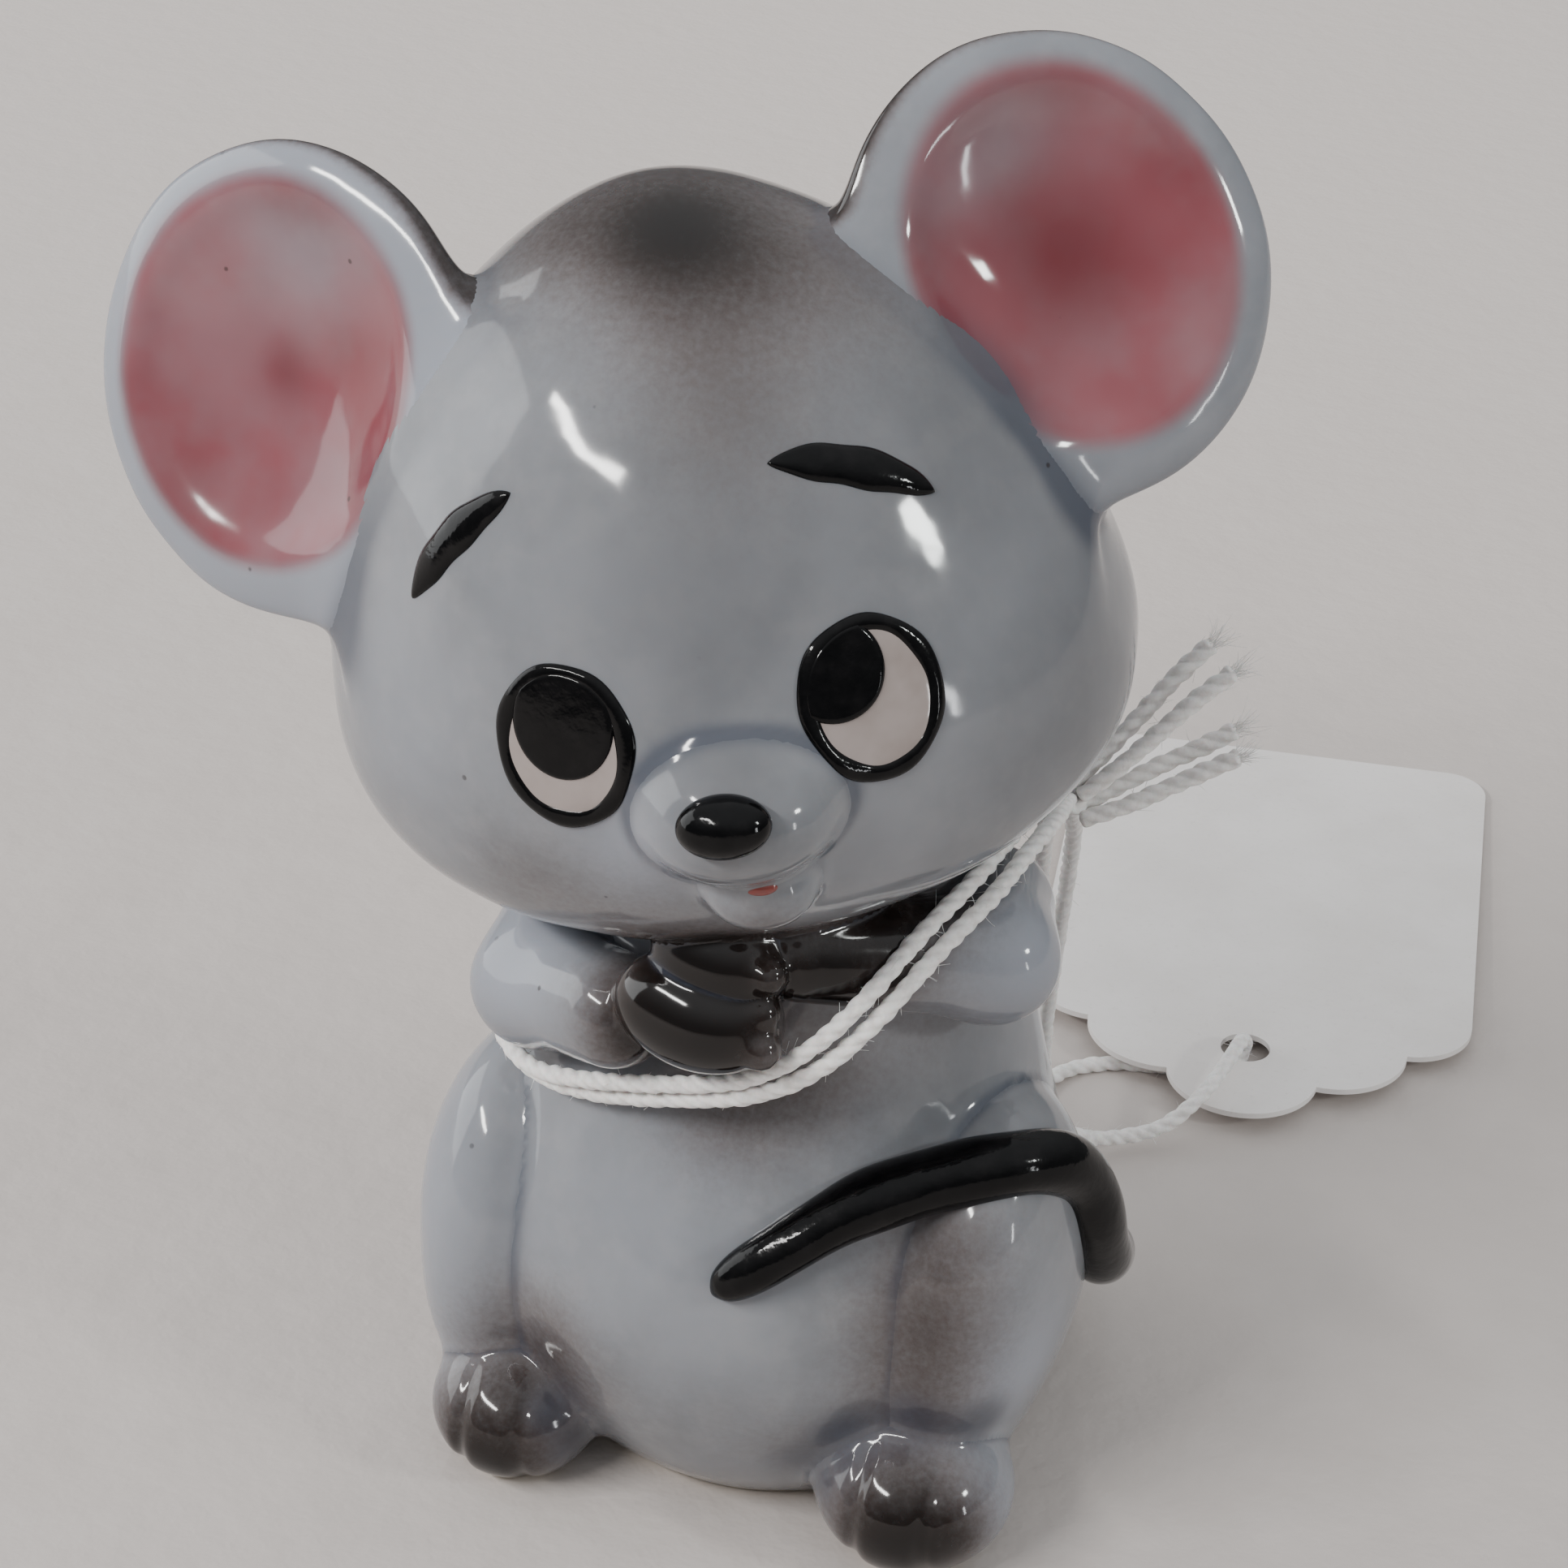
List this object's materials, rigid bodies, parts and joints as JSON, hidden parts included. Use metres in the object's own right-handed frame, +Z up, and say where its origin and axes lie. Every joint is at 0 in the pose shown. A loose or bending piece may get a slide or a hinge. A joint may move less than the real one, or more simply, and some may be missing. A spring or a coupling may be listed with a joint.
{
  "type": "mouse figurine",
  "caption": "Hollow glazed ceramic mouse sitting with clasped paws, head tilted, tail round its side, with a blank card tag tied on by cotton thread.",
  "frame": {"origin": "middle of the flat base face, on the surface that the figurine stands on", "axes": "+Z up, the figurine faces -Y, +X is the mouse's own left"},
  "size_m": [0.0734, 0.1125, 0.0871],
  "materials": {
    "grey_glaze": "gloss",
    "pink_and_grey_glaze": "gloss",
    "brown_glaze": "gloss",
    "black_enamel": "high gloss",
    "white_glaze": "gloss",
    "red_glaze": "gloss",
    "cotton_thread": "matt twisted cotton",
    "white_card": "matt card"
  },
  "bodies": {
    "figurine": {"arm_left": "grey_glaze", "arm_right": "grey_glaze", "brow_left": "black_enamel", "brow_right": "black_enamel", "ear_left": "pink_and_grey_glaze", "ear_right": "pink_and_grey_glaze", "eye_line_left": "black_enamel", "eye_line_right": "black_enamel", "eye_white_left": "white_glaze", "eye_white_right": "white_glaze", "foot_left": "brown_glaze", "foot_right": "brown_glaze", "haunch_left": "grey_glaze", "haunch_right": "grey_glaze", "head_casting": "grey_glaze", "mouth": "red_glaze", "neck_thread_inner": "cotton_thread", "neck_thread_outer": "cotton_thread", "nose": "black_enamel", "paw_left": "brown_glaze", "paw_right": "brown_glaze", "pupil_left": "black_enamel", "pupil_right": "black_enamel", "tag_thread": "cotton_thread", "tail": "black_enamel", "thread_end_a": "cotton_thread", "thread_end_b": "cotton_thread", "thread_end_c": "cotton_thread", "thread_end_d": "cotton_thread", "thread_knot": "cotton_thread", "torso_casting": "grey_glaze"},
    "tag": {"price_tag": "white_card"}
  },
  "joints": [
    {"name": "tag_swivel", "type": "hinge", "parent": "figurine", "child": "tag", "pos_m": [0.0196, 0.0425, 0.00135], "axis": [-0.0048, 0.0273, 0.9996], "range_deg": [-35, 35]}
  ]
}
